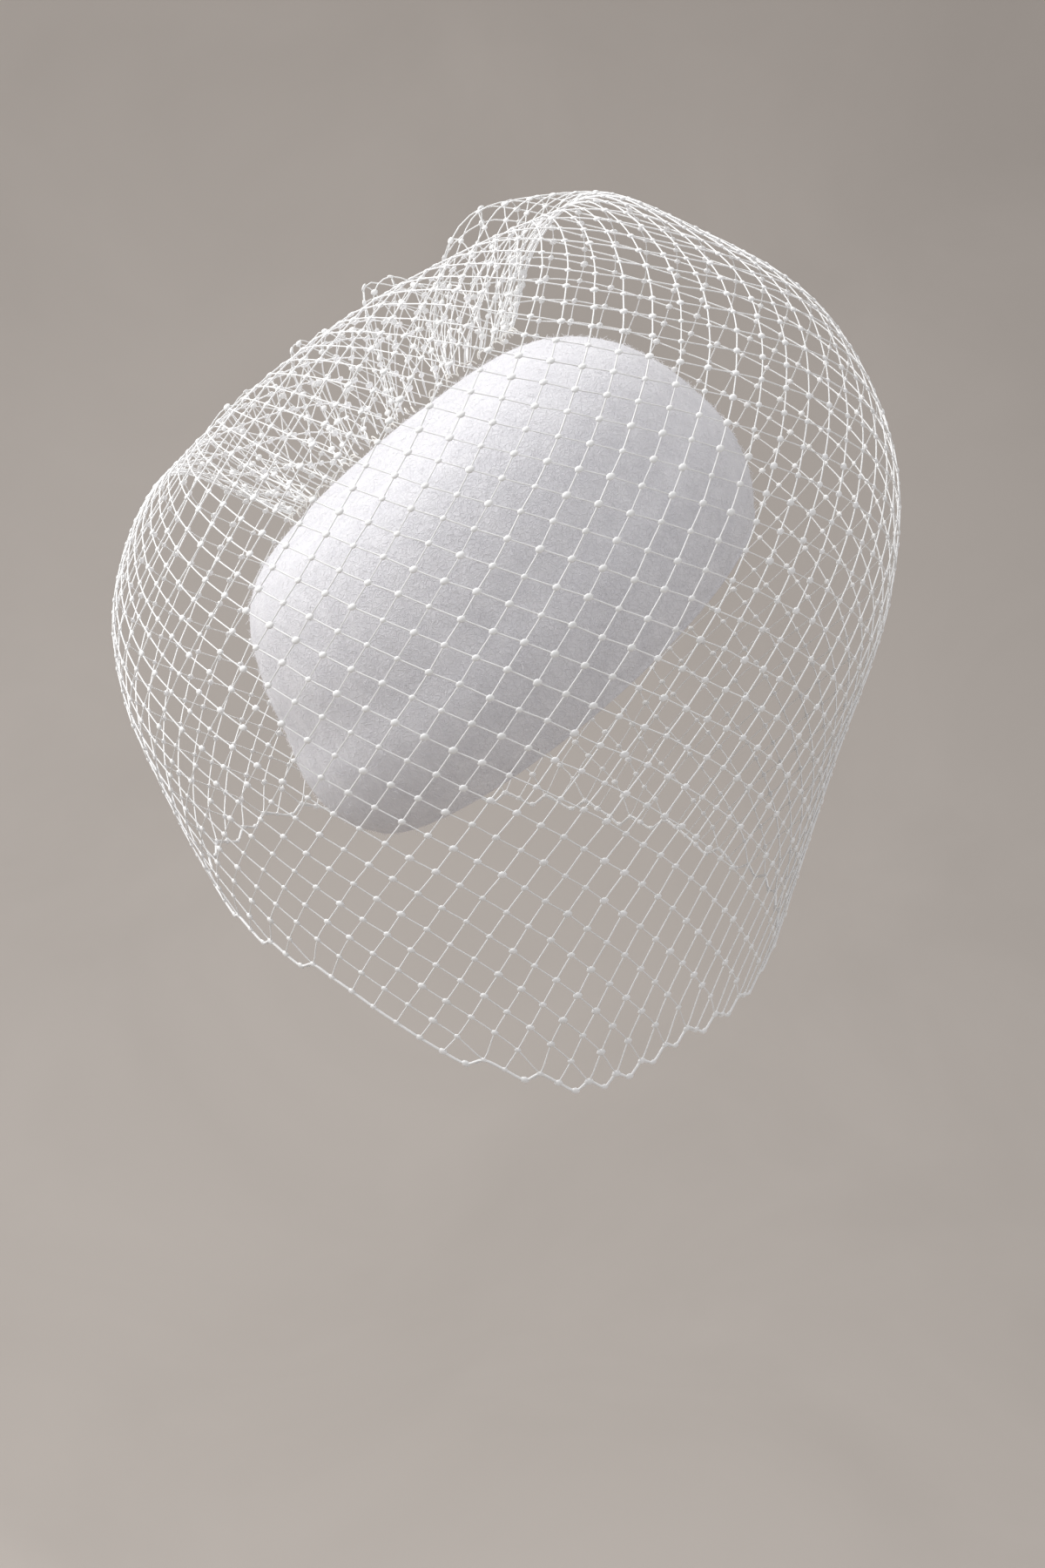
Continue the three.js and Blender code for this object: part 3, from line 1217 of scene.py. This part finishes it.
# --------------------------------------------------------------------------
# Stitches
# --------------------------------------------------------------------------
@dataclass
class Stitches:
    """Hand stitches that hold the gathers to the tip and the comb to the rim.

    Attributes:
        frame: The tilt the hat is worn at.
        radius: Half the thread's thickness.
        gather_count: Stitches round the gather.
        comb_places: Where the stitches over the comb's spine are.
        most_lean: Furthest a stitch leans about each axis, in radians.
    """

    frame: WornFrame
    radius: float = 0.22
    gather_count: int = 34
    comb_places: tuple[float, ...] = (-21.0, -10.5, 0.0, 10.5, 21.0)
    most_lean: tuple[float, float, float] = (0.15, 0.1, 0.35)

    def tree(self, cotton: bpy.types.Material, lean: float) -> bpy.types.NodeTree:
        """Makes the tree that sets an arched stitch on each guide point.

        Args:
            cotton: The thread's material.
            lean: How unevenly the stitches lean, from 0 to 1.

        Returns:
            The geometry tree.
        """
        tree = new_tree(
            "hand stitches",
            {"Thread Radius": self.radius * MM, "Stitch Reach": 2.6 * MM, "Stitch Height": 2.2 * MM},
            {"Seed": 5},
        )
        given = add_node(tree, "NodeGroupInput").outputs
        arch = add_node(tree, "GeometryNodeCurveArc", {"Resolution": 10, "Radius": 1.0, "Sweep Angle": math.pi})
        upright = add_node(
            tree, "GeometryNodeTransform", {"Rotation": (math.pi / 2, 0.0, 0.0)}, {"Geometry": arch.outputs["Curve"]}
        )
        stretch = add_node(
            tree,
            "ShaderNodeCombineXYZ",
            {"Y": 1.0},
            {"X": given["Stitch Reach"], "Z": given["Stitch Height"]},
        )
        sized = add_node(
            tree, "GeometryNodeTransform", {}, {"Geometry": upright.outputs["Geometry"], "Scale": stretch.outputs["Vector"]}
        )
        section = add_node(
            tree,
            "GeometryNodeCurvePrimitiveCircle",
            {"Resolution": 6},
            {"Radius": given["Thread Radius"]},
        )
        strand = add_node(
            tree,
            "GeometryNodeCurveToMesh",
            {"Fill Caps": True},
            {"Curve": sized.outputs["Geometry"], "Profile Curve": section.outputs["Curve"]},
        )
        _, turned = guided(tree)
        most = tuple(lean * a for a in self.most_lean)
        tilt = add_node(
            tree,
            "FunctionNodeRandomValue",
            {"data_type": "FLOAT_VECTOR", "Min": tuple(-a for a in most), "Max": most},
            {"Seed": given["Seed"]},
        )
        leant = add_node(
            tree,
            "FunctionNodeRotateRotation",
            {"rotation_space": "LOCAL"},
            {"Rotation": turned, "Rotate By": find_output(tilt)},
        )
        sewn = add_node(
            tree,
            "GeometryNodeInstanceOnPoints",
            {},
            {"Points": given["Geometry"], "Instance": strand.outputs["Mesh"], "Rotation": leant.outputs["Rotation"]},
        )
        finish_tree(tree, sewn.outputs["Instances"], cotton)
        return tree

    def build_gather(self, veil: Veil, cotton: bpy.types.Material) -> bpy.types.Object:
        """Sews the veil's gathered edge to the tip.

        Args:
            veil: The veil.
            cotton: The thread's material.

        Returns:
            The stitches.
        """
        angles = np.linspace(0, 360, self.gather_count, endpoint=False)
        ring = veil.hoop_points(veil.hoops[0], angles)
        middle = ring.mean(axis=0)
        across = ring - middle
        across[:, 0] *= 0.2
        across /= np.linalg.norm(across, axis=1, keepdims=True)
        up = np.tile([0.0, 0.0, 1.0], (len(ring), 1))
        points = ring - up * 1.6
        directions = {"outwards": self.frame.direct(up), "beside": self.frame.direct(across)}
        return grown("gather_stitches", self.tree(cotton, 1.0), self.frame.place(points), [], [], directions)

    def build_comb(self, cotton: bpy.types.Material) -> bpy.types.Object:
        """Sews the comb's spine to the inside of the rim.

        Args:
            cotton: The thread's material.

        Returns:
            The stitches.
        """
        wall = [-77.8 * math.sqrt(1 - (x / 82) ** 2) - 0.8 for x in self.comb_places]
        points = np.array([(x, y, 9.0) for x, y in zip(self.comb_places, wall)])
        inwards = np.tile([0.0, 1.0, 0.0], (len(points), 1))
        up = np.tile([0.0, 0.0, 1.0], (len(points), 1))
        directions = {"outwards": self.frame.direct(inwards), "beside": self.frame.direct(up)}
        values = {"Stitch Reach": 6.0 * MM, "Stitch Height": 17.5 * MM}
        return grown("comb_stitches", self.tree(cotton, 0.0), self.frame.place(points), [], [], directions, values)


# --------------------------------------------------------------------------
# The studio
# --------------------------------------------------------------------------
@dataclass(frozen=True)
class Studio:
    """A plain pale floor and wall, soft lights and the camera.

    Attributes:
        eye: The camera's place, in metres.
        pitch: How far it looks down, in degrees.
        lens: Its focal length, in millimetres.
        floor: Height of the floor, in metres.
        wall: How far back the wall stands, in metres.
        bend: Radius of the curve between the floor and the wall, in metres.
    """

    eye: tuple[float, float, float] = (-0.01148, -0.68369, 0.15526)
    pitch: float = 16.0
    lens: float = 50.0
    floor: float = -0.90
    wall: float = 2.2
    bend: float = 1.2

    def build(self, paint: bpy.types.Material) -> None:
        """Builds the studio.

        Args:
            paint: The floor's and wall's material.
        """
        self.build_backdrop(paint)
        self.build_lights()
        self.build_camera()

    def build_backdrop(self, paint: bpy.types.Material) -> None:
        """Builds the floor, which curves up into the wall.

        Args:
            paint: Its material.
        """
        turns = np.radians(np.linspace(0, 90, 25))
        line = [(-4.0, self.floor)]
        line += [
            (self.wall - self.bend * (1 - math.sin(t)), self.floor + self.bend * (1 - math.cos(t))) for t in turns
        ]
        line += [(self.wall, 4.0)]
        points = np.array([(x, y, z) for y, z in line for x in (-4.0, 4.0)])
        faces = [(2 * i, 2 * i + 1, 2 * i + 3, 2 * i + 2) for i in range(len(line) - 1)]
        backdrop = mesh_object("studio_floor", points, faces)
        backdrop.data.materials.append(paint)
        backdrop.data.shade_smooth()

    def build_lights(self) -> None:
        """Sets a large soft key from the upper left, a weak fill and an even sky."""
        for name, place, size, power in (
            ("key", (-1.3, 0.15, 1.2), 1.3, 38.0),
            ("fill", (1.4, -1.2, 0.5), 1.6, 4.0),
            ("rim", (0.5, 1.0, 1.2), 0.9, 8.0),
        ):
            lamp = bpy.data.lights.new(name, "AREA")
            lamp.shape, lamp.size, lamp.energy = "SQUARE", size, power
            light = bpy.data.objects.new(name, lamp)
            light.location = place
            light.rotation_euler = (-Vector(place)).to_track_quat("-Z", "Y").to_euler()
            bpy.context.scene.collection.objects.link(light)
        world = bpy.data.worlds.new("studio")
        world.use_nodes = True
        world.node_tree.nodes["Background"].inputs["Color"].default_value = linear("#F2F1F4")
        world.node_tree.nodes["Background"].inputs["Strength"].default_value = 0.6
        bpy.context.scene.world = world
        bpy.context.scene.view_settings.view_transform = "Standard"

    def build_camera(self) -> None:
        """Sets the camera."""
        data = bpy.data.cameras.new("camera")
        data.lens, data.sensor_width = self.lens, 36.0
        camera = bpy.data.objects.new("camera", data)
        camera.location = self.eye
        camera.rotation_euler = (math.radians(90 - self.pitch), 0.0, 0.0)
        bpy.context.scene.collection.objects.link(camera)
        bpy.context.scene.camera = camera


def dress_node(node: bpy.types.Object, material: bpy.types.Material) -> None:
    """Gives a CAD node its finish.

    Args:
        node: The node's object.
        material: The finish.
    """
    if not node.material_slots:
        node.data.materials.append(material)
    for slot in node.material_slots:
        slot.material = material


def report(piece: bpy.types.Object) -> None:
    """Logs a piece and its triangle count."""
    piece.data.calc_loop_triangles()
    LOG.info("%s: %d triangles", piece.name, len(piece.data.loop_triangles))


def main() -> None:
    """Builds the hat on its frame and the studio round it."""
    logging.basicConfig(level=logging.INFO, format="%(message)s")
    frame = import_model()
    worn = WornFrame()
    nylon, cotton = NYLON_NET.build(), SEWING_THREAD.build()

    crown = FeltCrown(worn)
    felt = crown.build(WOOL_FELT.build())
    hair = crown.build_hair(felt, WOOL_HAIR.build())
    veil = Veil(worn)
    halves, hem = veil.build(nylon)
    stitches = Stitches(worn)
    gather = stitches.build_gather(veil, cotton)
    comb = stitches.build_comb(cotton)
    dress_node(frame["nodes"]["hair_comb"], ACRYLIC.build())

    for piece, slot in (
        (felt, "felt"),
        (hair, "felt"),
        (halves[Panel.FRONT], "net"),
        (halves[Panel.BACK], "net"),
        (hem, "net"),
        (gather, "net"),
        (comb, "comb"),
    ):
        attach(piece, "root")
        report(piece)
    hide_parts("felt_crown")
    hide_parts("veil")

    Studio().build(STUDIO_PAINT.build())


if __name__ == "__main__":
    main()
